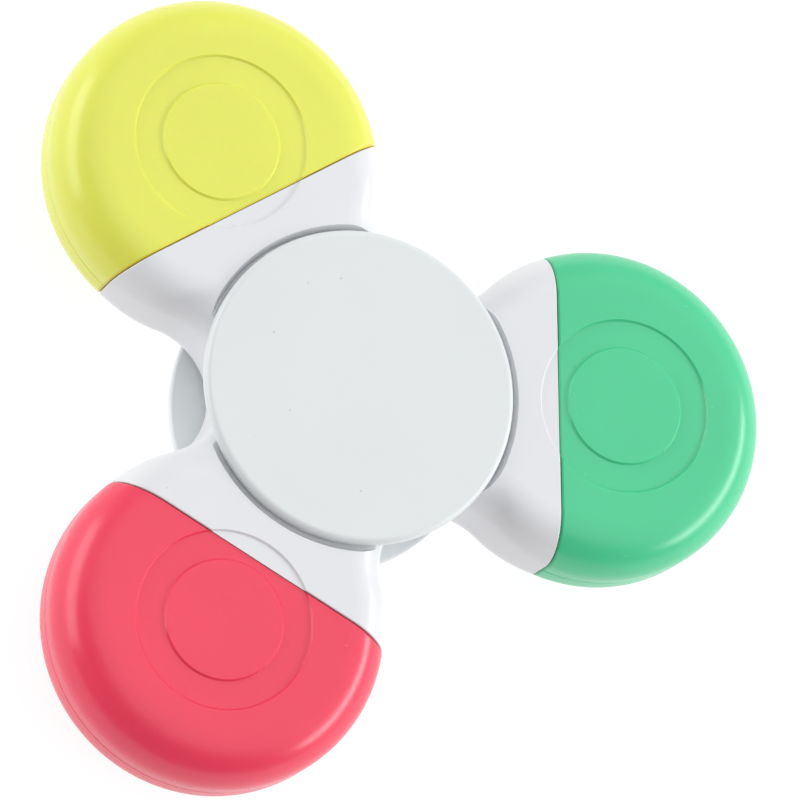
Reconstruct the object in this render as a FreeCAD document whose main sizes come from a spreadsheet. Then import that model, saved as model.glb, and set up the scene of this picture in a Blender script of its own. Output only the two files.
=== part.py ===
"""Fidget spinner whose three arms are highlighters.

Frame: millimetres, +Z along the spin axis, origin at the centre of the rear finger pad's outer face.
The green arm lies along +X, the yellow arm 120 degrees further round and the pink arm at 240 degrees.
"""
import FreeCAD, Part
import math
import os
import re
import Sketcher

Vector = FreeCAD.Vector
doc = FreeCAD.newDocument("fidget_spinner")

# ---------------------------------------------------------------- driving dimensions
SIZES = [
    ("arm_thickness", 13.4, "arms, front face to rear face"),
    ("lobe_centre", 28.7, "spin axis to the centre of an arm's round end"),
    ("lobe_radius", 18.2, "round end of an arm, seen from the front"),
    ("hub_wall", 3.0, "wall outside the bearing, between two arms"),
    ("parting_inset", 6.2, "lobe's centre back to the face where a cap meets its arm"),
    ("cap_gap", 0.07, "open line between a cap and its arm"),
    ("edge_round", 5.2, "rounding of a cap's front and rear edges"),
    ("neck_round", 4.2, "rounding of the body's edges at the waist"),
    ("wall", 1.6, "moulded wall of the caps and shells"),
    ("pad_radius", 17.15, "finger pads"),
    ("pad_proud", 0.85, "a pad's face above the arms' face"),
    ("pad_edge_round", 0.7, "rounding of a pad's edge"),
    ("pad_plate", 1.4, "thickness of a pad's disc"),
    ("recess_gap", 0.75, "open ring between a pad and the recess it sits in"),
    ("recess_depth", 1.1, "depth of that recess"),
    ("recess_slope", 0.5, "how much narrower the recess is at its floor"),
    ("ring_offset", 1.3, "lobe's centre to the centre of the sunk band, outwards"),
    ("ring_outer", 9.53, "outer circle of the sunk band on an arm's face"),
    ("ring_inner", 6.44, "inner circle of the sunk band"),
    ("ring_depth", 0.25, "depth of the sunk band"),
    ("ring_slope", 0.2, "width of the sloping sides of the sunk band"),
    ("mouth_round", 0.35, "rounding of a cap's edge where it meets its arm"),
    ("arm_end_round", 0.15, "rounding of the arm's edge there"),
    ("seam_depth", 0.07, "moulding line round a cap's side wall"),
    ("seam_width", 0.2, "width of that line"),
    ("rim_round", 0.3, "rounding of a pad's underside edge"),
    ("bearing_radius", 11.0, "outer race of a 608 bearing"),
    ("bearing_bore", 4.0, "bore radius of a 608 bearing"),
    ("bearing_width", 7.0, "width of a 608 bearing"),
    ("ball_radius", 1.984, "bearing ball"),
    ("ball_circle", 7.5, "spin axis to the centre of a ball"),
    ("race_gap", 0.1, "ball to raceway"),
    ("running_gap", 0.25, "moving faces inside the bearing and caps"),
    ("fit_gap", 0.05, "parts that seat in one another"),
    ("lip_width", 1.5, "shell lip that holds the outer race"),
    ("barrel_gap", 0.3, "hub wall to the rear end of a nib barrel"),
    ("barrel_reach", 6.7, "barrel's shoulder in front of the arm's end face"),
    ("nose_length", 3.5, "narrow nose of a barrel in front of its shoulder"),
    ("tip_gap", 3.5, "nib's tip to the closed end of the cap liner"),
    ("barrel_wall", 0.7, "wall of a nib barrel"),
    ("nib_radius", 2.5, "round part of a nib"),
    ("nib_thickness", 3.2, "chisel part of a nib"),
    ("flange_inset", 4.1, "arm's end face back to the barrel's flange"),
    ("flange_width", 1.2, "width of the barrel's flange"),
    ("plug_length", 1.4, "plug that closes a barrel's rear end"),
    ("spigot_length", 2.8, "tongue on the arm that guides a cap"),
    ("liner_wall", 0.5, "wall of a cap's inner sleeve"),
    ("liner_lap", 2.3, "how far a liner reaches back over the barrel"),
    ("liner_inset", 2.8, "cap's end wall to the closed end of its liner"),
    ("post_depth", 2.0, "how far a liner's stem enters the cap's post"),
    ("pin_radius", 1.1, "locating pins between the shells"),
    ("pin_length", 2.5, "locating pins above the joint plane"),
    ("pin_inset", 4.8, "arm's end face back to the pins"),
    ("pin_wall", 1.75, "material between a pin and the barrel's channel"),
    ("pocket_wall", 0.9, "material between a pin and the pocket beside it"),
    ("spigot_wall", 1.2, "wall of the tongue that guides a cap"),
    ("shoulder_height", 0.6, "race shoulder above the bottom of the ball track, and shield seat above it"),
    ("shield_thickness", 0.3, "bearing shield"),
    ("shield_inset", 0.1, "shield behind the bearing's face"),
]

# Worked out in the sheet from the dimensions above.
DERIVED = [
    ("half_thickness", "arm_thickness / 2"),
    ("mid_height", "pad_proud + half_thickness"),
    ("face_height", "pad_proud + arm_thickness"),
    ("overall_height", "2 * mid_height"),
    ("waist_radius", "bearing_radius + hub_wall"),
    ("recess_radius", "pad_radius + recess_gap"),
    ("waist_arc", "(lobe_centre ^ 2 - waist_radius * lobe_centre + waist_radius ^ 2 - lobe_radius ^ 2)"
                  " / (lobe_centre + 2 * lobe_radius - 2 * waist_radius)"),
    ("waist_centre", "waist_radius + waist_arc"),
    ("blend_share", "lobe_radius / (lobe_radius + waist_arc)"),
    ("neck_along", "lobe_centre + (waist_centre / 2 - lobe_centre) * blend_share"),
    ("neck_across", "waist_centre * sqrt(3) / 2 * blend_share"),
    ("neck_reach", "sqrt(neck_along ^ 2 + neck_across ^ 2)"),
    ("cap_plane", "lobe_centre - parting_inset"),
    ("cap_face", "cap_plane + cap_gap"),
    ("ring_centre", "lobe_centre + ring_offset"),
    ("cavity_half", "half_thickness - wall"),
    ("cavity_radius", "lobe_radius - wall"),
    ("cavity_round", "edge_round - wall"),
    ("mouth_half", "sqrt(cavity_radius ^ 2 - (lobe_centre - cap_face) ^ 2)"),
    ("liner_radius", "cavity_half - 3 * fit_gap"),
    ("barrel_radius", "liner_radius - liner_wall - running_gap"),
    ("channel_radius", "barrel_radius + fit_gap"),
    ("barrel_bore", "barrel_radius - barrel_wall"),
    ("reservoir_radius", "barrel_bore - fit_gap"),
    ("flange_radius", "half_thickness - wall + running_gap"),
    ("nose_radius", "nib_radius + barrel_wall"),
    ("barrel_back", "waist_radius + barrel_gap"),
    ("barrel_nose", "cap_plane + barrel_reach"),
    ("nib_back", "barrel_nose - barrel_wall"),
    ("flange_place", "cap_plane - flange_inset"),
    ("liner_end", "lobe_centre + cavity_radius - liner_inset"),
    ("liner_mouth", "barrel_nose - liner_lap"),
    ("nib_tip", "liner_end - liner_wall - tip_gap"),
    ("pin_place", "cap_plane - pin_inset"),
    ("pin_side", "channel_radius + pin_wall + pin_radius"),
    ("pocket_side", "pin_side + pin_radius + pocket_wall"),
    ("tongue_half", "mouth_half - running_gap"),
    ("tongue_height", "cavity_half - running_gap"),
    ("bearing_half", "bearing_width / 2"),
    ("groove_radius", "ball_radius + race_gap"),
    ("inner_shoulder", "ball_circle - ball_radius + shoulder_height"),
    ("outer_shoulder", "ball_circle + ball_radius - shoulder_height"),
    ("shield_seat", "outer_shoulder + shoulder_height"),
    ("shield_inner", "bearing_half - shield_thickness - shield_inset"),
    ("lip_radius", "bearing_radius - lip_width"),
    ("stem_radius", "bearing_bore - fit_gap"),
    ("stem_pin_radius", "stem_radius * 0.55"),
]

sheet = doc.addObject("Spreadsheet::Sheet", "Sizes")
for row, (alias, value, meaning) in enumerate(SIZES, start=1):
    sheet.set(f"A{row}", meaning)
    sheet.set(f"B{row}", str(value))
    sheet.setAlias(f"B{row}", alias)
for row, (alias, formula) in enumerate(DERIVED, start=len(SIZES) + 1):
    sheet.set(f"A{row}", alias.replace("_", " "))
    sheet.set(f"B{row}", f"={formula}")
    sheet.setAlias(f"B{row}", alias)
doc.recompute()

ALIASES = [entry[0] for entry in SIZES + DERIVED]
ALIAS_WORD = re.compile(r"\b(" + "|".join(ALIASES) + r")\b")
ARMS = [("green", 0), ("yellow", 120), ("pink", 240)]
BALL_COUNT = 7
nodes = []


# ---------------------------------------------------------------- helpers
def size(alias):
    """A value of the sheet, as a number."""
    return float(sheet.get(alias))


def bind(item, prop, formula):
    """Ties a property to a formula of sheet names."""
    item.setExpression(prop, ALIAS_WORD.sub(r"Sizes.\1", formula))


def place(item, x="0", y="0", z="0", tilt=None, turn="0"):
    """Ties a placement: the tilt of the piece, its offset, then the arm's turn about the spin axis."""
    tilts = {None: "rotation(vector(0; 0; 1); 0)",
             "along": "rotation(vector(0; 1; 0); 90)",
             "over": "rotation(vector(1; 0; 0); 180)"}
    spin = f"placement(vector(0; 0; 0); rotation(vector(0; 0; 1); {turn}))"
    bind(item, "Placement", f"{spin} * placement(vector({x}; {y}; {z}); {tilts[tilt]})")


def cylinder(name, radius, height, **where):
    item = doc.addObject("Part::Cylinder", name)
    bind(item, "Radius", radius)
    bind(item, "Height", height)
    place(item, **where)
    return item


def box(name, length, width, height, **where):
    item = doc.addObject("Part::Box", name)
    bind(item, "Length", length)
    bind(item, "Width", width)
    bind(item, "Height", height)
    place(item, **where)
    return item


def cone(name, low_radius, high_radius, height, **where):
    item = doc.addObject("Part::Cone", name)
    bind(item, "Radius1", low_radius)
    bind(item, "Radius2", high_radius)
    bind(item, "Height", height)
    place(item, **where)
    return item


def sphere(name, radius, **where):
    item = doc.addObject("Part::Sphere", name)
    bind(item, "Radius", radius)
    place(item, **where)
    return item


def fuse(name, items):
    item = doc.addObject("Part::MultiFuse", name)
    item.Shapes = items
    item.Refine = True
    return item


def cut(name, base, tool):
    item = doc.addObject("Part::Cut", name)
    item.Base = base
    item.Tool = tool
    item.Refine = True
    return item


def common(name, first, second):
    item = doc.addObject("Part::Common", name)
    item.Base = first
    item.Tool = second
    return item


def node(item, label):
    """Marks an object as a sub-part and names it."""
    item.Label = label
    nodes.append(item)
    return item


def new_body(label, turn=0):
    """A PartDesign body, turned about the spin axis to its arm."""
    body = doc.addObject("PartDesign::Body", label)
    body.Placement = FreeCAD.Placement(Vector(0, 0, 0), FreeCAD.Rotation(Vector(0, 0, 1), turn))
    return node(body, label)


def new_sketch(body, name, role, shift_x="0", shift_y="0", shift_z="0"):
    """A sketch on one of the body's origin planes, moved by an offset in its own axes."""
    sketch = body.newObject("Sketcher::SketchObject", name)
    plane = [item for item in body.Origin.OriginFeatures if item.Role == role][0]
    sketch.AttachmentSupport = [(plane, "")]
    sketch.MapMode = "FlatFace"
    bind(sketch, "AttachmentOffset.Base.x", shift_x)
    bind(sketch, "AttachmentOffset.Base.y", shift_y)
    bind(sketch, "AttachmentOffset.Base.z", shift_z)
    return sketch


def dimension(sketch, kind, where, formula):
    """Adds one driving dimension, tied to the sheet."""
    index = sketch.addConstraint(Sketcher.Constraint(kind, *where, 1.0))
    bind(sketch, f"Constraints[{index}]", formula)


def polygon(sketch, corners):
    """Closed outline of straight edges, each corner dimensioned from the sketch's origin."""
    count = len(corners)
    first = sketch.GeometryCount
    for step in range(count):
        start = Vector(math.cos(step), math.sin(step), 0) * 10
        end = Vector(math.cos(step + 1), math.sin(step + 1), 0) * 10
        sketch.addGeometry(Part.LineSegment(start, end), False)
    for step in range(count):
        after = (step + 1) % count
        sketch.addConstraint(Sketcher.Constraint("Coincident", first + step, 2, first + after, 1))
    for step, (across, up) in enumerate(corners):
        dimension(sketch, "DistanceX", (-1, 1, first + step, 1), across)
        dimension(sketch, "DistanceY", (-1, 1, first + step, 1), up)


def circle(sketch, radius, across="0", up="0"):
    """A circle with its centre and radius dimensioned."""
    index = sketch.addGeometry(Part.Circle(Vector(1, 1, 0), Vector(0, 0, 1), 2), False)
    dimension(sketch, "DistanceX", (-1, 1, index, 3), across)
    dimension(sketch, "DistanceY", (-1, 1, index, 3), up)
    dimension(sketch, "Radius", (index,), radius)


def revolve(body, kind, sketch, axis):
    """A full turn of a sketch about one of its own axes."""
    feature = body.newObject(f"PartDesign::{kind}", f"{body.Label}_{kind.lower()}")
    feature.Profile = sketch
    feature.ReferenceAxis = (sketch, [axis])
    feature.Angle = 360
    return feature


def extrude(body, kind, sketch, length, reverse=False):
    """A pad or pocket of a sketch."""
    feature = body.newObject(f"PartDesign::{kind}", f"{body.Label}_{kind.lower()}")
    feature.Profile = sketch
    bind(feature, "Length", length)
    feature.Reversed = reverse
    return feature


def round_edges(body, base, radius, wanted):
    """Rounds the edges of a feature that a test picks by their middle point and length."""
    doc.recompute()
    names = []
    for number, edge in enumerate(base.Shape.Edges, start=1):
        middle = edge.valueAt((edge.FirstParameter + edge.LastParameter) / 2)
        if wanted(middle, edge):
            names.append(f"Edge{number}")
    feature = body.newObject("PartDesign::Fillet", f"{body.Label}_round")
    feature.Base = (base, names)
    bind(feature, "Radius", radius)
    return feature


# ---------------------------------------------------------------- finger pads
def finger_pad(label, front):
    """Flat pad with a rounded edge, a boss on the inner race and half of the press-fit stem."""
    def level(depth):
        return f"overall_height - ({depth})" if front else depth

    body = new_body(label)
    boss_end = "mid_height - bearing_half"
    stem_end = "mid_height - fit_gap"
    corners = [("0", level("0")),
               ("pad_radius", level("0")),
               ("pad_radius", level("pad_plate")),
               ("inner_shoulder - running_gap", level("pad_plate")),
               ("inner_shoulder - running_gap", level(boss_end)),
               ("stem_radius", level(boss_end)),
               ("stem_radius", level(stem_end))]
    if front:
        pin_end = "mid_height + bearing_half * 0.8"
        corners += [("stem_pin_radius", level(stem_end)),
                    ("stem_pin_radius", level(pin_end)),
                    ("0", level(pin_end))]
    else:
        socket_end = "mid_height - bearing_half * 0.8 - running_gap"
        corners += [("stem_pin_radius + fit_gap", level(stem_end)),
                    ("stem_pin_radius + fit_gap", level(socket_end)),
                    ("0", level(socket_end))]
    profile = new_sketch(body, f"{label}_profile", "XZ_Plane")
    polygon(profile, corners)
    turned = revolve(body, "Revolution", profile, "V_Axis")
    rim_length = 2 * math.pi * size("pad_radius")
    outer_face = size("overall_height") if front else 0
    face_rounded = round_edges(body, turned, "pad_edge_round", lambda middle, edge:
                               abs(middle.z - outer_face) < 0.01 and abs(edge.Length - rim_length) < 0.01)
    under_rim = abs(outer_face - size("pad_plate"))
    return round_edges(body, face_rounded, "rim_round", lambda middle, edge:
                       abs(middle.z - under_rim) < 0.01 and abs(edge.Length - rim_length) < 0.01)


finger_pad("front_finger_pad", True)
finger_pad("rear_finger_pad", False)


# ---------------------------------------------------------------- bearing
def race(label, corners):
    """A turned race with the ball track cut into it."""
    body = new_body(label)
    profile = new_sketch(body, f"{label}_profile", "XZ_Plane", shift_y="mid_height")
    polygon(profile, corners)
    revolve(body, "Revolution", profile, "V_Axis")
    track = new_sketch(body, f"{label}_track", "XZ_Plane", shift_y="mid_height")
    circle(track, "groove_radius", across="ball_circle")
    return revolve(body, "Groove", track, "V_Axis")


def bearing():
    race("bearing_inner_race", [("bearing_bore", "-bearing_half"), ("inner_shoulder", "-bearing_half"),
                                ("inner_shoulder", "bearing_half"), ("bearing_bore", "bearing_half")])
    seat = "shield_inner"
    race("bearing_outer_race", [("shield_seat", "-bearing_half"), ("bearing_radius", "-bearing_half"),
                                ("bearing_radius", "bearing_half"), ("shield_seat", "bearing_half"),
                                ("shield_seat", seat), ("outer_shoulder", seat),
                                ("outer_shoulder", f"-({seat})"), ("shield_seat", f"-({seat})")])
    for side, sign in (("front", ""), ("rear", "-")):
        body = new_body(f"bearing_shield_{side}")
        profile = new_sketch(body, f"shield_{side}_profile", "XZ_Plane", shift_y="mid_height")
        inner = f"{sign}({seat})"
        outer = f"{sign}({seat} + shield_thickness)"
        polygon(profile, [("inner_shoulder + running_gap", inner), ("shield_seat - fit_gap", inner),
                          ("shield_seat - fit_gap", outer), ("inner_shoulder + running_gap", outer)])
        revolve(body, "Revolution", profile, "V_Axis")

    ring_low = "mid_height - ball_radius * 0.85"
    ring_high = "mid_height + shield_inner - running_gap"
    blank = cylinder("cage_blank", "outer_shoulder - running_gap", f"{ring_high} - ({ring_low})", z=ring_low)
    middle = cylinder("cage_middle", "inner_shoulder + running_gap", "bearing_width * 2", z="0")
    pockets = []
    for index in range(BALL_COUNT):
        turn = f"{index} * 360 / {BALL_COUNT}"
        pockets.append(sphere(f"cage_pocket_{index + 1}", "ball_radius + running_gap",
                              x="ball_circle", z="mid_height", turn=turn))
        node(sphere(f"ball_{index + 1}", "ball_radius", x="ball_circle", z="mid_height", turn=turn),
             f"bearing_ball_{index + 1}")
    node(cut("cage", blank, fuse("cage_openings", [middle] + pockets)), "bearing_cage")


bearing()


# ---------------------------------------------------------------- body shells
def arm_cuts(tag, turn):
    """Everything hollowed out of one arm of a shell, above the joint plane."""
    channel = cylinder(f"{tag}_channel", "channel_radius", "cap_plane + spigot_length + 1 - barrel_back",
                       x="barrel_back - fit_gap", tilt="along", turn=turn)
    groove = cylinder(f"{tag}_groove", "flange_radius + fit_gap", "flange_width + 2 * fit_gap",
                      x="flange_place - fit_gap", tilt="along", turn=turn)
    hollow = cylinder(f"{tag}_hollow", "cavity_radius - 1", "cavity_half - recess_depth + 0.2",
                      x="lobe_centre", turn=turn)
    pockets = []
    for side, low in (("left", "pocket_side"), ("right", "-cavity_radius")):
        window = box(f"{tag}_{side}_window", "cap_plane - wall - neck_along", "cavity_radius - pocket_side",
                     "cavity_half", x="neck_along", y=low, turn=turn)
        pockets.append(common(f"{tag}_{side}_pocket", hollow, window))
    mouth = box(f"{tag}_mouth", "spigot_length + 1", "2 * (tongue_half - spigot_wall)",
                "tongue_height - spigot_wall", x="cap_plane", y="-(tongue_half - spigot_wall)", turn=turn)
    band = cut(f"{tag}_band",
               cone(f"{tag}_band_outer", "ring_outer - ring_slope / 2", "ring_outer + ring_slope * 1.5",
                    "2 * ring_depth", x="ring_centre", z="half_thickness - ring_depth", turn=turn),
               cone(f"{tag}_band_inner", "ring_inner + ring_slope / 2", "ring_inner - ring_slope * 1.5",
                    "2 * ring_depth", x="ring_centre", z="half_thickness - ring_depth", turn=turn))
    return [channel, groove, mouth, band] + pockets


def shell_blank(tag):
    """Half of the body from the joint plane to the arms' face, rounded, without its hollows."""
    solids = [cylinder(f"{tag}_hub", "neck_reach", "half_thickness")]
    removed = []
    for colour, turn in ARMS:
        solids.append(cylinder(f"{tag}_{colour}_lobe", "lobe_radius", "half_thickness",
                               x="lobe_centre", turn=turn))
        removed.append(cylinder(f"{tag}_{colour}_waist", "waist_arc", "arm_thickness",
                                x="waist_centre", z="-1", turn=turn + 60))
        removed.append(box(f"{tag}_{colour}_end", "2 * lobe_radius", "4 * lobe_radius", "arm_thickness",
                           x="cap_plane", y="-2 * lobe_radius", z="-1", turn=turn))
    outline = cut(f"{tag}_outline", fuse(f"{tag}_solids", solids), fuse(f"{tag}_removed", removed))
    doc.recompute()
    return outline


def fillet(name, base, edges):
    """A Part fillet of listed edges, each with the radius at its start and end."""
    item = doc.addObject("Part::Fillet", name)
    item.Base = base
    item.Edges = edges
    doc.recompute()
    return item


def rounded(tag, outline):
    """Rounds the outer edge of a shell: one radius at the caps, running to another at the waist."""
    top = size("half_thickness")
    at_caps = size("edge_round")
    at_waist = min(size("neck_round"), 0.9 * top)
    neck = size("neck_reach")
    edges = []
    for number, edge in enumerate(outline.Shape.Edges, start=1):
        start = edge.valueAt(edge.FirstParameter)
        end = edge.valueAt(edge.LastParameter)
        flat = abs(start.z - top) < 0.001 and abs(end.z - top) < 0.001
        if flat and edge.Curve.TypeId == "Part::GeomCircle":
            radii = [at_waist if math.hypot(point.x, point.y) < neck + 0.01 else at_caps
                     for point in (start, end)]
            edges.append((number, radii[0], radii[1]))
    item = fillet(f"{tag}_rounded", outline, edges)
    radius = size("arm_end_round")
    plane = size("cap_plane")
    edges = []
    for number, edge in enumerate(item.Shape.Edges, start=1):
        ends = [vertex.Point for vertex in edge.Vertexes]
        on_floor = all(abs(point.z) < 0.001 for point in ends)
        for _, turn in ARMS:
            along = Vector(math.cos(math.radians(turn)), math.sin(math.radians(turn)), 0)
            if not on_floor and all(abs(point.dot(along) - plane) < 0.001 for point in ends):
                edges.append((number, radius, radius))
    return fillet(f"{tag}_softened", item, edges)


def spigot(tag, turn):
    """Tongue on the arm's end face that guides the cap, rounded like the inside of the cap."""
    block = box(f"{tag}_spigot_block", "spigot_length + 1", "2 * tongue_half", "tongue_height",
                x="cap_plane - 1", y="-tongue_half", turn=turn)
    doc.recompute()
    radius = size("cavity_round")
    length = size("spigot_length") + 1
    edges = []
    for number, edge in enumerate(block.Shape.Edges, start=1):
        if abs(edge.Length - length) < 0.01 and edge.Vertexes[0].Z > 0.01:
            edges.append((number, radius, radius))
    return fillet(f"{tag}_spigot", block, edges)


def body_shell(label, front):
    """One half of the white body: bearing seat, lip, barrel channels, pockets and locating pins."""
    tag = "fs" if front else "rs"
    shell = rounded(tag, shell_blank(tag))
    tongues = [spigot(f"{tag}_{colour}", turn) for colour, turn in ARMS]
    whole = fuse(f"{tag}_whole", [shell] + tongues)
    hollows = [cylinder(f"{tag}_seat", "bearing_radius + fit_gap / 2", "bearing_half"),
               cylinder(f"{tag}_lip_bore", "lip_radius", "arm_thickness"),
               cone(f"{tag}_recess", "recess_radius - recess_slope",
                    "recess_radius + recess_slope", "2 * recess_depth",
                    z="half_thickness - recess_depth")]
    pins = []
    for colour, turn in ARMS:
        hollows += arm_cuts(f"{tag}_{colour}", turn)
        for side, sign in (("left", ""), ("right", "-")):
            name = f"{tag}_{colour}_{side}"
            if front:
                hollows.append(cylinder(f"{name}_socket", "pin_radius + fit_gap", "pin_length + 0.3",
                                        x="pin_place", y=f"{sign}pin_side", turn=turn))
            else:
                pins.append(cylinder(f"{name}_pin", "pin_radius", "pin_length + 1",
                                     x="pin_place", y=f"{sign}pin_side", z="-pin_length", turn=turn))
    result = cut(f"{tag}_hollowed", whole, fuse(f"{tag}_hollows", hollows))
    if pins:
        result = fuse(f"{tag}_pinned", [result] + pins)
    place(result, z="mid_height", tilt=None if front else "over")
    return node(result, label)


body_shell("body_front_shell", True)
body_shell("body_rear_shell", False)


# ---------------------------------------------------------------- highlighter arms
def cap(colour, turn):
    """Pull-off cap: a hollow rounded disc cut off square where it meets the arm."""
    body = new_body(f"cap_{colour}", turn)
    label = body.Label
    disc = new_sketch(body, f"{label}_disc", "XY_Plane", shift_z="pad_proud")
    circle(disc, "lobe_radius", across="lobe_centre")
    outer = extrude(body, "Pad", disc, "arm_thickness")
    outer = round_edges(body, outer, "edge_round", lambda middle, edge:
                        edge.Curve.TypeId == "Part::GeomCircle")
    inside = new_sketch(body, f"{label}_inside", "XZ_Plane", shift_x="lobe_centre", shift_y="mid_height")
    polygon(inside, [("0", "-cavity_half"), ("cavity_radius", "-cavity_half"),
                     ("cavity_radius", "cavity_half"), ("0", "cavity_half")])
    cavity = revolve(body, "Groove", inside, "V_Axis")
    reach = size("cavity_half")
    middle_height = size("mid_height")
    bend = 2 * math.pi * size("cavity_radius")
    round_edges(body, cavity, "cavity_round", lambda middle, edge:
                abs(abs(middle.z - middle_height) - reach) < 0.01 and abs(edge.Length - bend) < 0.1)
    seam = new_sketch(body, f"{label}_seam", "XZ_Plane", shift_x="lobe_centre", shift_y="mid_height")
    polygon(seam, [("lobe_radius - seam_depth", "0"), ("lobe_radius + seam_depth", "seam_width"),
                   ("lobe_radius + seam_depth", "-seam_width")])
    revolve(body, "Groove", seam, "V_Axis")
    half = new_sketch(body, f"{label}_open", "XY_Plane")
    polygon(half, [("-5", "-2 * lobe_radius"), ("cap_face", "-2 * lobe_radius"),
                   ("cap_face", "2 * lobe_radius"), ("-5", "2 * lobe_radius")])
    opened = extrude(body, "Pocket", half, "overall_height + 5", reverse=True)
    face = size("cap_face")
    lip = size("wall") / 5
    round_edges(body, opened, "mouth_round", lambda middle, edge:
                all(abs(vertex.X - face) < 0.001 for vertex in edge.Vertexes)
                and (abs(middle.z - middle_height) > reach + lip or abs(middle.y) > size("mouth_half") + lip))
    post = new_sketch(body, f"{label}_post", "YZ_Plane", shift_y="mid_height", shift_z="liner_end")
    circle(post, "nib_radius + barrel_wall")
    extrude(body, "Pad", post, "lobe_centre + cavity_radius + wall / 2 - liner_end")
    hole = new_sketch(body, f"{label}_hole", "YZ_Plane", shift_y="mid_height", shift_z="liner_end")
    circle(hole, "nib_radius - running_gap")
    extrude(body, "Pocket", hole, "post_depth + fit_gap", reverse=True)
    for side, level, sign in (("front", "face_height", "-"), ("rear", "pad_proud", "")):
        band = new_sketch(body, f"{label}_{side}_band", "XZ_Plane", shift_x="ring_centre", shift_y=level)
        polygon(band, [("ring_inner + ring_slope / 2", f"{sign}ring_depth"),
                       ("ring_outer - ring_slope / 2", f"{sign}ring_depth"),
                       ("ring_outer + ring_slope * 1.5", f"{sign}(-ring_depth)"),
                       ("ring_inner - ring_slope * 1.5", f"{sign}(-ring_depth)")])
        revolve(body, "Groove", band, "V_Axis")
    return body


def on_arm_axis(label, turn, corners):
    """A piece turned about the arm's own axis, from a half section."""
    body = new_body(label, turn)
    profile = new_sketch(body, f"{label}_profile", "XZ_Plane", shift_y="mid_height")
    polygon(profile, corners)
    revolve(body, "Revolution", profile, "H_Axis")
    return body


def cap_liner(colour, turn):
    """Inner sleeve that closes over the barrel, held by a stem in the cap's post."""
    stem = "nib_radius - running_gap - fit_gap"
    on_arm_axis(f"cap_liner_{colour}", turn, [
        ("liner_mouth", "liner_radius - liner_wall"), ("liner_mouth", "liner_radius"),
        ("liner_end", "liner_radius"), ("liner_end", stem), ("liner_end + post_depth", stem),
        ("liner_end + post_depth", "0"),
        ("liner_end - liner_wall", "0"), ("liner_end - liner_wall", "liner_radius - liner_wall")])


def nib_barrel(colour, turn):
    """Tube that holds the reservoir and the nib, with a flange held between the shells."""
    nose = "barrel_nose + nose_length"
    on_arm_axis(f"nib_barrel_{colour}", turn, [
        ("barrel_back", "barrel_bore"), ("barrel_back", "barrel_radius"),
        ("flange_place", "barrel_radius"), ("flange_place", "flange_radius"),
        ("flange_place + flange_width", "flange_radius"), ("flange_place + flange_width", "barrel_radius"),
        ("barrel_nose", "barrel_radius"), ("barrel_nose + 0.8", "nose_radius"), (nose, "nose_radius"),
        (nose, "nib_radius + fit_gap"), ("nib_back", "nib_radius + fit_gap"), ("nib_back", "barrel_bore")])


def ink_reservoir(colour, turn):
    """Fibre rod that feeds the nib."""
    on_arm_axis(f"ink_reservoir_{colour}", turn, [
        ("barrel_back + plug_length", "0"), ("barrel_back + plug_length", "reservoir_radius"),
        ("nib_back - fit_gap", "reservoir_radius"), ("nib_back - fit_gap", "0")])


def barrel_plug(colour, turn):
    """Plug that closes the rear end of a barrel."""
    on_arm_axis(f"barrel_plug_{colour}", turn, [
        ("barrel_back", "0"), ("barrel_back", "reservoir_radius"),
        ("barrel_back + plug_length - fit_gap", "reservoir_radius"),
        ("barrel_back + plug_length - fit_gap", "0")])


def nib(colour, turn):
    """Felt nib: a round rod cut to a flat blade with a slanted chisel end."""
    body = on_arm_axis(f"nib_{colour}", turn, [
        ("nib_back", "0"), ("nib_back", "nib_radius"), ("nib_tip", "nib_radius"), ("nib_tip", "0")])
    blade = new_sketch(body, f"nib_{colour}_blade", "XZ_Plane", shift_y="mid_height", shift_z="-10")
    root = "barrel_nose + nose_length"
    flat = "nib_thickness / 2"
    for sign in ("", "-"):
        polygon(blade, [(f"{root} + 0.3", f"{sign}nib_radius * 1.2"), (f"{root} + 1", f"{sign}({flat})"),
                        ("nib_tip + 1", f"{sign}({flat})"), ("nib_tip + 1", f"{sign}nib_radius * 1.2")])
    extrude(body, "Pocket", blade, "20", reverse=True)
    slant = new_sketch(body, f"nib_{colour}_slant", "XY_Plane")
    polygon(slant, [("nib_tip", "-nib_radius * 0.7"), ("nib_tip + 2", "-nib_radius * 2"),
                    ("nib_tip + 2", "nib_radius * 1.5"), ("nib_tip - nib_radius", "nib_radius * 1.5")])
    extrude(body, "Pocket", slant, "overall_height", reverse=True)
    return body


for colour, turn in ARMS:
    cap(colour, turn)
    cap_liner(colour, turn)
    nib_barrel(colour, turn)
    ink_reservoir(colour, turn)
    barrel_plug(colour, turn)
    nib(colour, turn)

# ---------------------------------------------------------------- check and write
doc.recompute()
for item in doc.Objects:
    if "Invalid" in item.State or "Error" in item.State:
        raise RuntimeError(f"{item.Label} did not compute: {item.State}")
for item in nodes:
    if item.Shape.isNull() or not item.Shape.isValid() or not item.Shape.Solids:
        raise RuntimeError(f"{item.Label} has no valid solid")
os.makedirs("parts", exist_ok=True)
for item in nodes:
    item.Shape.exportStep(f"parts/{item.Label}.step")
    bounds = item.Shape.BoundBox
    print(f"{item.Label}: {len(item.Shape.Solids)} solid, {item.Shape.Volume:.1f} mm3, "
          f"x {bounds.XMin:.2f} {bounds.XMax:.2f} y {bounds.YMin:.2f} {bounds.YMax:.2f} "
          f"z {bounds.ZMin:.2f} {bounds.ZMax:.2f}")
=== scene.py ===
import math

import bpy
from mathutils import Matrix, Vector, noise


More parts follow.
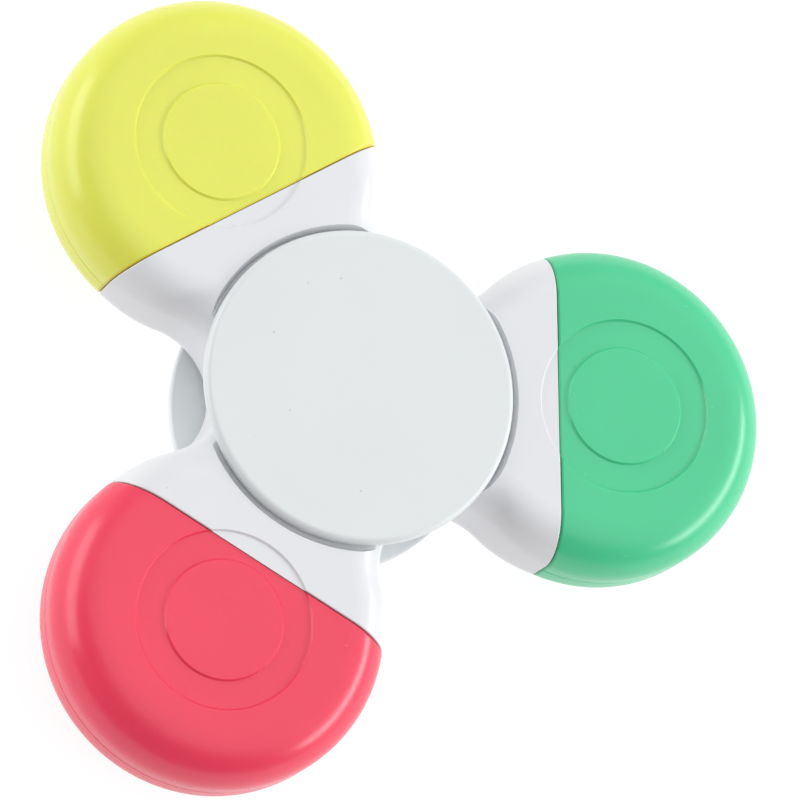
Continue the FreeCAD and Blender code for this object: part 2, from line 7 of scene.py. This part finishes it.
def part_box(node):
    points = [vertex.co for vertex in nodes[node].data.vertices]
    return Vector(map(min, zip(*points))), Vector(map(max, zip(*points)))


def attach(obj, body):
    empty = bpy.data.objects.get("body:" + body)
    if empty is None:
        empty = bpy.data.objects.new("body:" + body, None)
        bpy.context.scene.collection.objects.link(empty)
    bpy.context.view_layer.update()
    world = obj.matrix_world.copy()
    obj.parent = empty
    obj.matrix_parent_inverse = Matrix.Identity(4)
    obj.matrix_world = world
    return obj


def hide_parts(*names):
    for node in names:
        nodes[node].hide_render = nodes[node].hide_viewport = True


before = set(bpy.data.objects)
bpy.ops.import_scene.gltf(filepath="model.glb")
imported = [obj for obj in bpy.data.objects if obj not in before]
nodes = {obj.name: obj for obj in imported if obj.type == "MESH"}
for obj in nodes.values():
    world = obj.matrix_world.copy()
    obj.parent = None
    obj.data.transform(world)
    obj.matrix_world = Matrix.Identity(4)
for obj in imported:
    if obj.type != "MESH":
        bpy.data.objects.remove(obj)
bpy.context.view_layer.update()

bpy.ops.object.select_all(action="DESELECT")

# ---- finger pads -----------------------------------------------------------------------------
# The two round discs that finger and thumb hold. Each is an injection moulding in white ABS from a
# satin tool: faint flow tints, an uneven sheen, a little orange peel and the odd grey regrind speck.
pad_colour = (0.775, 0.808, 0.818)
pad_roughness = 0.30
plastic_ior = 1.55


def add_node(tree, kind, **values):
    """Adds one shader node and sets the inputs that are named."""
    item = tree.nodes.new(kind)
    for name, value in values.items():
        item.inputs[name.replace("_", " ")].default_value = value
    return item


def object_noise(tree, scale, detail, stretch=(1, 1, 1), turn=0.0):
    """Noise fixed to the piece, stretched along its own axes after a turn about the spin axis."""
    place = tree.nodes.new("ShaderNodeTexCoord")
    mapping = add_node(tree, "ShaderNodeMapping", Rotation=(0, 0, turn), Scale=stretch)
    pattern = add_node(tree, "ShaderNodeTexNoise", Scale=scale, Detail=detail)
    tree.links.new(place.outputs["Object"], mapping.inputs["Vector"])
    tree.links.new(mapping.outputs["Vector"], pattern.inputs["Vector"])
    return pattern.outputs["Fac"]


def new_material(name):
    """A material with only its principled shader."""
    material = bpy.data.materials.new(name)
    material.use_nodes = True
    return material, material.node_tree, material.node_tree.nodes["Principled BSDF"]


def tinted(tree, factor, dark, light, low=0.3, high=0.7):
    """Colour that runs from dark to light as the factor runs from low to high."""
    ramp = tree.nodes.new("ShaderNodeValToRGB")
    ramp.color_ramp.elements[0].position = low
    ramp.color_ramp.elements[1].position = high
    ramp.color_ramp.elements[0].color = (*dark, 1)
    ramp.color_ramp.elements[1].color = (*light, 1)
    tree.links.new(factor, ramp.inputs["Fac"])
    return ramp.outputs["Color"]


def ranged(tree, factor, low, high, start=0.0, end=1.0):
    """Number that runs from low to high as the factor runs from start to end."""
    item = add_node(tree, "ShaderNodeMapRange", From_Min=start, From_Max=end, To_Min=low, To_Max=high)
    tree.links.new(factor, item.inputs["Value"])
    return item.outputs["Result"]


def bumped(tree, layers):
    """Stacks bump layers, each a height, a strength and a depth in metres, on one normal."""
    normal = None
    for height, strength, depth in layers:
        item = add_node(tree, "ShaderNodeBump", Strength=strength, Distance=depth)
        tree.links.new(height, item.inputs["Height"])
        if normal is not None:
            tree.links.new(normal, item.inputs["Normal"])
        normal = item.outputs["Normal"]
    return normal


def moulded_plastic(name, colour, roughness, tint=0.012, peel=0.02, specks=False):
    """Injection-moulded plastic, with the drift, sheen, hairlines and ripple of a used tool."""
    material, tree, shader = new_material(name)
    flow = object_noise(tree, 60.0, 3.0)
    paint = tinted(tree, flow, [c * (1 - tint) for c in colour], [min(1, c * (1 + tint)) for c in colour])
    if specks:
        place = tree.nodes.new("ShaderNodeTexCoord")
        grains = add_node(tree, "ShaderNodeTexVoronoi", Scale=520.0)
        tree.links.new(place.outputs["Object"], grains.inputs["Vector"])
        near = ranged(tree, grains.outputs["Distance"], 1.0, 0.0, 0.04, 0.075)
        rare = tree.nodes.new("ShaderNodeSeparateColor")
        tree.links.new(grains.outputs["Color"], rare.inputs["Color"])
        chosen = ranged(tree, rare.outputs["Red"], 0.0, 1.0, 0.84, 0.85)
        amount = tree.nodes.new("ShaderNodeMath")
        amount.operation = "MULTIPLY"
        tree.links.new(near, amount.inputs[0])
        tree.links.new(chosen, amount.inputs[1])
        mix = tree.nodes.new("ShaderNodeMix")
        mix.data_type = "RGBA"
        tree.links.new(amount.outputs["Value"], mix.inputs["Factor"])
        tree.links.new(paint, mix.inputs["A"])
        mix.inputs["B"].default_value = (*[c * 0.72 for c in colour], 1)
        paint = mix.outputs["Result"]
    tree.links.new(paint, shader.inputs["Base Color"])

    satin = object_noise(tree, 900.0, 4.0)
    hairlines = object_noise(tree, 260.0, 2.0, stretch=(1, 14, 1), turn=0.6)
    sheen = tree.nodes.new("ShaderNodeMath")
    sheen.operation = "ADD"
    tree.links.new(ranged(tree, satin, roughness - 0.04, roughness + 0.04), sheen.inputs[0])
    tree.links.new(ranged(tree, hairlines, 0.0, 0.012, 0.62, 0.72), sheen.inputs[1])
    tree.links.new(sheen.outputs["Value"], shader.inputs["Roughness"])
    ripple = object_noise(tree, 350.0, 2.0)
    normal = bumped(tree, [(satin, 0.01, 0.0001), (ripple, peel, 0.0003)])
    tree.links.new(normal, shader.inputs["Normal"])
    shader.inputs["IOR"].default_value = plastic_ior
    return material


def finish_node(name, material):
    """Puts one material on a CAD node."""
    nodes[name].data.materials.clear()
    nodes[name].data.materials.append(material)


pad_white = moulded_plastic("pad_white", pad_colour, pad_roughness, specks=True)
for name in ("front_finger_pad", "rear_finger_pad"):
    finish_node(name, pad_white)

# ---- bearing races ---------------------------------------------------------------------------
# The inner and outer rings of a 608 ball bearing, in ground chrome steel. The grinding wheel leaves
# fine lines that run round each ring.
race_colour = (0.60, 0.60, 0.61)


def turned_steel(name, colour, roughness, line_scale, line_depth):
    """Steel with fine lines round the spin axis, as a lathe or a grinding wheel leaves them."""
    material, tree, shader = new_material(name)
    place = tree.nodes.new("ShaderNodeTexCoord")
    parts = tree.nodes.new("ShaderNodeSeparateXYZ")
    tree.links.new(place.outputs["Object"], parts.inputs["Vector"])
    flat = tree.nodes.new("ShaderNodeCombineXYZ")
    tree.links.new(parts.outputs["X"], flat.inputs["X"])
    tree.links.new(parts.outputs["Y"], flat.inputs["Y"])
    radius = tree.nodes.new("ShaderNodeVectorMath")
    radius.operation = "LENGTH"
    tree.links.new(flat.outputs["Vector"], radius.inputs[0])
    rings = tree.nodes.new("ShaderNodeCombineXYZ")
    tree.links.new(radius.outputs["Value"], rings.inputs["X"])
    tree.links.new(parts.outputs["Z"], rings.inputs["Y"])
    lines = add_node(tree, "ShaderNodeTexNoise", Scale=line_scale, Detail=5.0)
    tree.links.new(rings.outputs["Vector"], lines.inputs["Vector"])
    tree.links.new(tinted(tree, lines.outputs["Fac"], [c * 0.85 for c in colour], colour),
                   shader.inputs["Base Color"])
    tree.links.new(ranged(tree, lines.outputs["Fac"], roughness - 0.06, roughness + 0.08),
                   shader.inputs["Roughness"])
    tree.links.new(bumped(tree, [(lines.outputs["Fac"], 0.3, line_depth)]), shader.inputs["Normal"])
    shader.inputs["Metallic"].default_value = 1.0
    return material


ground_steel = turned_steel("ground_steel", race_colour, 0.22, 9000.0, 0.00002)
for name in ("bearing_inner_race", "bearing_outer_race"):
    finish_node(name, ground_steel)

# ---- bearing balls ---------------------------------------------------------------------------
# Seven lapped and polished steel balls. They mirror what is round them, with a breath of grease.
ball_steel, tree, shader = new_material("polished_steel")
grease = object_noise(tree, 700.0, 3.0)
tree.links.new(tinted(tree, grease, (0.62, 0.62, 0.62), (0.72, 0.72, 0.73)), shader.inputs["Base Color"])
tree.links.new(ranged(tree, grease, 0.05, 0.14), shader.inputs["Roughness"])
shader.inputs["Metallic"].default_value = 1.0
ball_names = sorted(name for name in nodes if name.startswith("bearing_ball_"))
for name in ball_names:
    finish_node(name, ball_steel)

# ---- bearing cage and shields ----------------------------------------------------------------
# The cage that spaces the balls and the two dust shields are pressed from bright steel strip. The
# press leaves a slightly rippled, duller skin than grinding does.
pressed_steel = turned_steel("pressed_steel", (0.55, 0.55, 0.55), 0.32, 2500.0, 0.00003)
for name in ("bearing_cage", "bearing_shield_front", "bearing_shield_rear"):
    finish_node(name, pressed_steel)

# ---- body shells -----------------------------------------------------------------------------
# The three-armed body is two white ABS shells that snap together at half height. They come from the
# same satin tool as the pads, in a slightly brighter white.
body_white = moulded_plastic("body_white", (0.80, 0.81, 0.835), 0.30, peel=0.01, specks=True)
for name in ("body_front_shell", "body_rear_shell"):
    finish_node(name, body_white)

# ---- nib barrels and plugs -------------------------------------------------------------------
# Each arm's highlighter sits in a turned-looking barrel of white polypropylene, closed at the hub
# end by a plug. Polypropylene is waxier and a little more see-through than the body's ABS.
arms = {"green": 0.0, "yellow": math.radians(120), "pink": math.radians(240)}


def waxy_plastic(name, colour, roughness, depth):
    """Polypropylene: a soft sheen, milky at thin edges."""
    material = moulded_plastic(name, colour, roughness, tint=0.02, peel=0.03)
    shader = material.node_tree.nodes["Principled BSDF"]
    shader.inputs["Subsurface Weight"].default_value = 0.3
    shader.inputs["Subsurface Radius"].default_value = (1.0, 0.9, 0.8)
    shader.inputs["Subsurface Scale"].default_value = depth
    return material


barrel_white = waxy_plastic("barrel_white", (0.78, 0.79, 0.80), 0.42, 0.0008)
for arm in arms:
    finish_node(f"nib_barrel_{arm}", barrel_white)
    finish_node(f"barrel_plug_{arm}", barrel_white)

# ---- ink reservoirs --------------------------------------------------------------------------
# A rod of polyester fibre soaked in ink fills each barrel. The fibres run along the arm and take
# up the ink unevenly, so the rod is streaked.
ink_colour = {"green": (0.10, 0.62, 0.28), "yellow": (0.80, 0.84, 0.12), "pink": (0.88, 0.09, 0.20)}


def soaked_fibre(name, colour, turn, stretch, streak_scale, depth):
    """Fibre soaked in ink: matt, streaked along the fibres."""
    material, tree, shader = new_material(name)
    fibres = object_noise(tree, streak_scale, 4.0, stretch=stretch, turn=-turn)
    clouds = object_noise(tree, 250.0, 2.0)
    blend = tree.nodes.new("ShaderNodeMath")
    blend.operation = "MULTIPLY_ADD"
    blend.inputs[1].default_value = 0.6
    tree.links.new(fibres, blend.inputs[0])
    tree.links.new(ranged(tree, clouds, 0.0, 0.4), blend.inputs[2])
    pale = [0.6 * c + 0.4 for c in colour]
    tree.links.new(tinted(tree, blend.outputs["Value"], colour, pale, 0.35, 0.8), shader.inputs["Base Color"])
    tree.links.new(bumped(tree, [(fibres, 0.6, depth)]), shader.inputs["Normal"])
    shader.inputs["Roughness"].default_value = 0.85
    shader.inputs["Sheen Weight"].default_value = 0.25
    shader.inputs["Sheen Roughness"].default_value = 0.5
    return material


for arm, turn in arms.items():
    finish_node(f"ink_reservoir_{arm}",
                soaked_fibre(f"{arm}_fibre", ink_colour[arm], turn, (0.06, 1, 1), 2600.0, 0.0001))

# ---- felt nibs -------------------------------------------------------------------------------
# A chisel nib of pressed felt, ground to a slanted blade and soaked with ink. Grinding and use
# round its edges, and single fibres roughen its skin, so each is a softened copy of the CAD nib.
nib_voxel = 0.0002
nib_fuzz = 0.00003
for arm, turn in arms.items():
    source = nodes[f"nib_{arm}"]
    felt = bpy.data.objects.new(f"felt_nib_{arm}", source.data.copy())
    bpy.context.scene.collection.objects.link(felt)
    bpy.context.view_layer.objects.active = felt
    felt.select_set(True)
    bpy.ops.object.mode_set(mode="EDIT")
    bpy.ops.mesh.select_all(action="SELECT")
    bpy.ops.mesh.remove_doubles(threshold=0.000001)
    bpy.ops.object.mode_set(mode="OBJECT")
    remesh = felt.modifiers.new("voxels", "REMESH")
    remesh.mode = "VOXEL"
    remesh.voxel_size = nib_voxel
    bpy.ops.object.modifier_apply(modifier="voxels")
    soften = felt.modifiers.new("worn_edges", "SMOOTH")
    soften.factor = 0.5
    soften.iterations = 5
    bpy.ops.object.modifier_apply(modifier="worn_edges")
    for vertex in felt.data.vertices:
        fibre = noise.noise(vertex.co * 2600.0) + 0.5 * noise.noise(vertex.co * 6000.0)
        vertex.co += vertex.normal * nib_fuzz * (fibre - 0.6)
    bpy.ops.object.shade_smooth()
    felt.select_set(False)
    felt.data.materials.clear()
    felt.data.materials.append(
        soaked_fibre(f"{arm}_felt", [c * 0.92 for c in ink_colour[arm]], turn, (0.35, 1, 1), 4200.0, 0.00012))
    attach(felt, "rotor")
    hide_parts(f"nib_{arm}")

# ---- caps ------------------------------------------------------------------------------------
# The pull-off caps are moulded in clear-bodied fluorescent polypropylene. Light soaks a little way
# into the wall, which warms the shaded edges. A thin band at the mouth is painted a darker, deeper
# colour as painted shade, standing in for the shade in the gap at the parting line.
cap_colour = {"green": (0.080, 0.64, 0.32), "yellow": (0.81, 0.84, 0.120), "pink": (0.91, 0.055, 0.118)}
# Painted shade: the darker, deeper colours painted in a band at each cap's mouth, in place of the shaded gap.
painted_gap_shade_colour = {"green": (0.02, 0.42, 0.19), "yellow": (0.76, 0.56, 0.025), "pink": (0.68, 0.02, 0.055)}
painted_gap_shade_width = 0.0003
cap_soak = 0.0009
cap_depth = {"green": (0.2, 1.0, 0.5), "yellow": (1.0, 0.6, 0.1), "pink": (1.0, 0.15, 0.2)}
for arm in arms:
    dyed = moulded_plastic(f"{arm}_cap_plastic", cap_colour[arm], 0.25, tint=0.02)
    tree, shader = dyed.node_tree, dyed.node_tree.nodes["Principled BSDF"]
    outward = Vector((math.cos(arms[arm]), math.sin(arms[arm]), 0))
    mouth = min(vertex.co.dot(outward) for vertex in nodes[f"cap_{arm}"].data.vertices)
    place = tree.nodes.new("ShaderNodeTexCoord")
    along = tree.nodes.new("ShaderNodeVectorMath")
    along.operation = "DOT_PRODUCT"
    along.inputs[1].default_value = outward
    tree.links.new(place.outputs["Object"], along.inputs[0])
    # Painted shade: within 0.3 mm of the mouth the cap's colour is mixed over to the darker painted shade
    # colour.
    painted_gap_shade_mask = ranged(tree, along.outputs["Value"], 1.0, 0.0, mouth, mouth + painted_gap_shade_width)
    painted_gap_shade_mix = tree.nodes.new("ShaderNodeMix")
    painted_gap_shade_mix.data_type = "RGBA"
    tree.links.new(painted_gap_shade_mask, painted_gap_shade_mix.inputs["Factor"])
    tree.links.new(shader.inputs["Base Color"].links[0].from_socket, painted_gap_shade_mix.inputs["A"])
    painted_gap_shade_mix.inputs["B"].default_value = (*painted_gap_shade_colour[arm], 1)
    tree.links.new(painted_gap_shade_mix.outputs["Result"], shader.inputs["Base Color"])
    shader.inputs["Subsurface Weight"].default_value = 0.4
    shader.inputs["Subsurface Radius"].default_value = cap_depth[arm]
    shader.inputs["Subsurface Scale"].default_value = cap_soak
    finish_node(f"cap_{arm}", dyed)

# ---- cap liners ------------------------------------------------------------------------------
# A thin sleeve inside each cap closes over the barrel and keeps the nib wet. It is unpigmented
# polypropylene, milky and soft in its sheen, with a trace of ink.
liner_colour = (0.80, 0.80, 0.77)
for arm in arms:
    stained = [0.88 * a + 0.12 * b for a, b in zip(liner_colour, ink_colour[arm])]
    finish_node(f"cap_liner_{arm}", waxy_plastic(f"{arm}_liner_milky", stained, 0.45, 0.0012))

# ---- table -----------------------------------------------------------------------------------
# The spinner lies on a white light table, whose own glow and bounce fill every side wall. Its top is
# a hair below the rear pad, so that the two flat faces never lie in one plane.
table_glow = 0.9
table_grey = 0.15
table_drop = 0.0001
bpy.ops.mesh.primitive_plane_add(size=6.0, location=(0, 0, -table_drop))
table = bpy.context.object
table.name = "light_table"
table_paint, tree, shader = new_material("light_table_white")
shader.inputs["Base Color"].default_value = (table_grey, table_grey, table_grey, 1)
shader.inputs["Roughness"].default_value = 0.8
shader.inputs["Emission Color"].default_value = (1, 1, 1, 1)
shader.inputs["Emission Strength"].default_value = table_glow
table.data.materials.append(table_paint)
table.select_set(False)

# ---- studio light ----------------------------------------------------------------------------
# A white studio: bright overhead, softer towards the walls, and one dark corner that keeps the
# rounded edges on that side deep in colour. Two low softboxes draw the streaks on the edges.
ceiling_glow = 1.18
right_glow = 0.60
left_glow = 0.60
corner_glow = 0.20
world = bpy.data.worlds.new("studio")
world.use_nodes = True
bpy.context.scene.world = world
tree = world.node_tree
direction = tree.nodes.new("ShaderNodeTexCoord")
overhead = tree.nodes.new("ShaderNodeVectorMath")
overhead.operation = "DOT_PRODUCT"
overhead.inputs[1].default_value = (0.29, 0.12, 0.95)
tree.links.new(direction.outputs["Generated"], overhead.inputs[0])
sideways = tree.nodes.new("ShaderNodeVectorMath")
sideways.operation = "DOT_PRODUCT"
sideways.inputs[1].default_value = (0.94, 0.25, 0.0)
tree.links.new(direction.outputs["Generated"], sideways.inputs[0])
walls = ranged(tree, sideways.outputs["Value"], left_glow, right_glow, 0.0, 0.6)
corner = tree.nodes.new("ShaderNodeVectorMath")
corner.operation = "DOT_PRODUCT"
corner.inputs[1].default_value = (-0.62, -0.78, 0.0)
tree.links.new(direction.outputs["Generated"], corner.inputs[0])
shade = add_node(tree, "ShaderNodeMapRange", From_Min=0.0, From_Max=0.45, To_Max=corner_glow)
shade.interpolation_type = "SMOOTHSTEP"
tree.links.new(corner.outputs["Value"], shade.inputs["Value"])
tree.links.new(walls, shade.inputs["To Min"])
studio = add_node(tree, "ShaderNodeMapRange", From_Min=0.52, From_Max=0.90, To_Max=ceiling_glow)
studio.interpolation_type = "SMOOTHSTEP"
tree.links.new(overhead.outputs["Value"], studio.inputs["Value"])
tree.links.new(shade.outputs["Result"], studio.inputs["To Min"])
tree.links.new(studio.outputs["Result"], tree.nodes["Background"].inputs["Strength"])
tree.nodes["Background"].inputs["Color"].default_value = (1, 1, 1, 1)


def softbox(name, azimuth, elevation, width, height, glow):
    """A rectangular soft light a little over a metre away that points at the spinner."""
    azimuth, elevation = math.radians(azimuth), math.radians(elevation)
    place = softbox_distance * Vector((math.cos(elevation) * math.cos(azimuth),
                                       math.cos(elevation) * math.sin(azimuth), math.sin(elevation)))
    bpy.ops.object.light_add(type="AREA", location=place)
    lamp = bpy.context.object
    lamp.name = name
    lamp.data.shape = "RECTANGLE"
    lamp.data.size = width
    lamp.data.size_y = height
    lamp.data.energy = glow * math.pi * width * height
    lamp.rotation_euler = (-place).to_track_quat("-Z", "Y").to_euler()
    lamp.visible_camera = False


softbox_distance = 1.1
softbox("key_right", -12, 22, 1.1, 0.20, 8.0)
softbox("fill_left", 158, 10, 1.2, 0.62, 2.9)

# ---- camera ----------------------------------------------------------------------------------
# A long lens well above the arms, tilted a little from straight down.
face_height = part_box("body_front_shell")[1].z
tilt, turn, roll = math.radians(23.3), math.radians(-140.7), math.radians(-0.8)
distance = 0.592
focal_length = 251.1
aim = Vector((0.00451, -0.00111, face_height))
back = Vector((math.sin(tilt) * math.cos(turn), math.sin(tilt) * math.sin(turn), math.cos(tilt)))
across = Vector((0, 1, 0)).cross(back).normalized()
upward = back.cross(across)
right = across * math.cos(roll) + upward * math.sin(roll)
above = upward * math.cos(roll) - across * math.sin(roll)
camera_data = bpy.data.cameras.new("camera")
camera_data.sensor_width = 36.0
camera_data.lens = focal_length
camera_data.clip_start = 0.01
camera_data.clip_end = 20.0
camera = bpy.data.objects.new("camera", camera_data)
bpy.context.scene.collection.objects.link(camera)
turned = Matrix((right, above, back)).transposed().to_4x4()
camera.matrix_world = Matrix.Translation(aim + back * distance) @ turned
bpy.context.scene.camera = camera
bpy.context.scene.view_settings.view_transform = "Standard"
